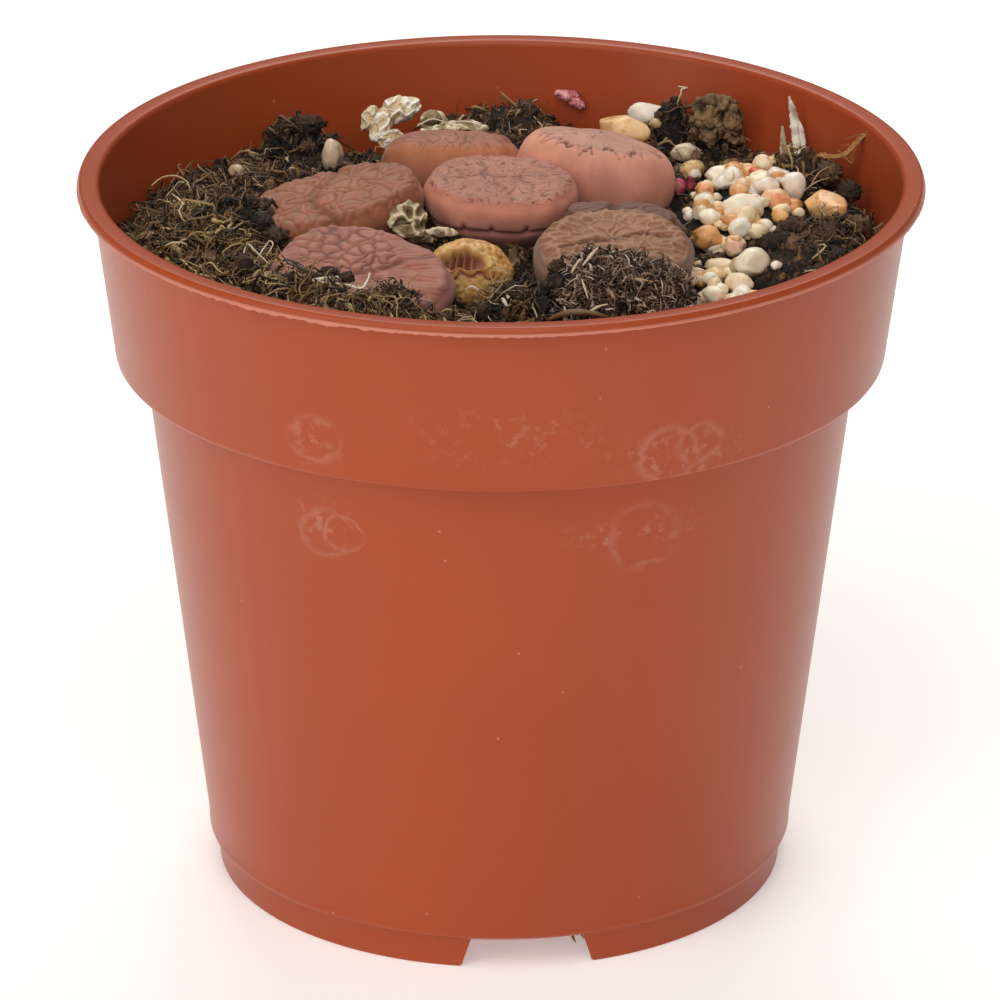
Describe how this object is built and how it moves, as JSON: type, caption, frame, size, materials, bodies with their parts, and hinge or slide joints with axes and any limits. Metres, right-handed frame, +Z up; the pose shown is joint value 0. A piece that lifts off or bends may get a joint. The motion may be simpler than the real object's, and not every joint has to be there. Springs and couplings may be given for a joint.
{
  "type": "potted living stone",
  "caption": "Clump of stone-shaped succulent bodies in dark peat and pale grit, in a round tapered plastic nursery pot with a deep band, a thin lip and a notched foot.",
  "frame": {"origin": "centre of the pot's foot, on the surface that the pot stands on", "axes": "+Z up along the pot's axis, +X to the right in the front view, -Y to the front, where the foot notch is a little to the right of the middle"},
  "size_m": [0.085, 0.085, 0.0752],
  "materials": {
    "pot_plastic": "satin",
    "peat": "matte",
    "leaf_skin": "satin",
    "husk_amber": "satin",
    "husk_pale": "matte",
    "husk_white": "matte",
    "sliver": "satin",
    "root_fibre": "matte",
    "bark": "matte",
    "stone_pale": "matte",
    "stone_tan": "satin",
    "stone_red": "matte",
    "stone_dark": "satin",
    "granule_pink": "matte",
    "granule_magenta": "matte"
  },
  "bodies": {
    "root": {"pot": "pot_plastic", "peat_soil": "peat", "head_centre": "leaf_skin", "head_left": "leaf_skin", "head_front_left": "leaf_skin", "head_back": "leaf_skin", "head_back_right": "leaf_skin", "head_front_right": "leaf_skin", "head_right": "leaf_skin", "husk_amber": "husk_amber", "husk_grey": "husk_pale", "husk_papery": "husk_pale", "husk_white": "husk_white", "husk_rim": "husk_white", "sliver_tall": "sliver", "sliver_short": "sliver", "root_strand": "root_fibre", "bark_chip": "bark", "granule_pink": "granule_pink", "granule_magenta": "granule_magenta", "stone_oval_right": "stone_pale", "stone_grey_right": "stone_pale", "stone_cream_large": "stone_pale", "stone_peach": "stone_tan", "stone_cream_top": "stone_pale", "stone_white_tall": "stone_pale", "stone_cream_flat": "stone_pale", "stone_white_mid": "stone_pale", "stone_red": "stone_red", "stone_white_orange": "stone_pale", "stone_yellow_back": "stone_tan", "stone_peach_small": "stone_tan", "stone_yellow_right": "stone_tan", "stone_pale_back": "stone_pale", "stone_orange_left": "stone_tan", "stone_cream_left": "stone_pale", "stone_amber": "stone_tan", "stone_pink_white": "stone_pale", "stone_pink_low": "stone_tan", "stone_flat_cream": "stone_pale", "stone_pale_pair": "stone_pale", "stone_front_large": "stone_pale", "stone_front_second": "stone_pale", "stone_white_tan": "stone_tan", "stone_orange_front": "stone_tan", "stone_left_pale": "stone_pale", "stone_left_small": "stone_pale", "stone_back_left": "stone_tan", "stone_yellow_long": "stone_tan", "stone_white_back": "stone_pale", "stone_dark_front": "stone_dark", "stone_front_grit": "stone_pale"}
  },
  "joints": []
}
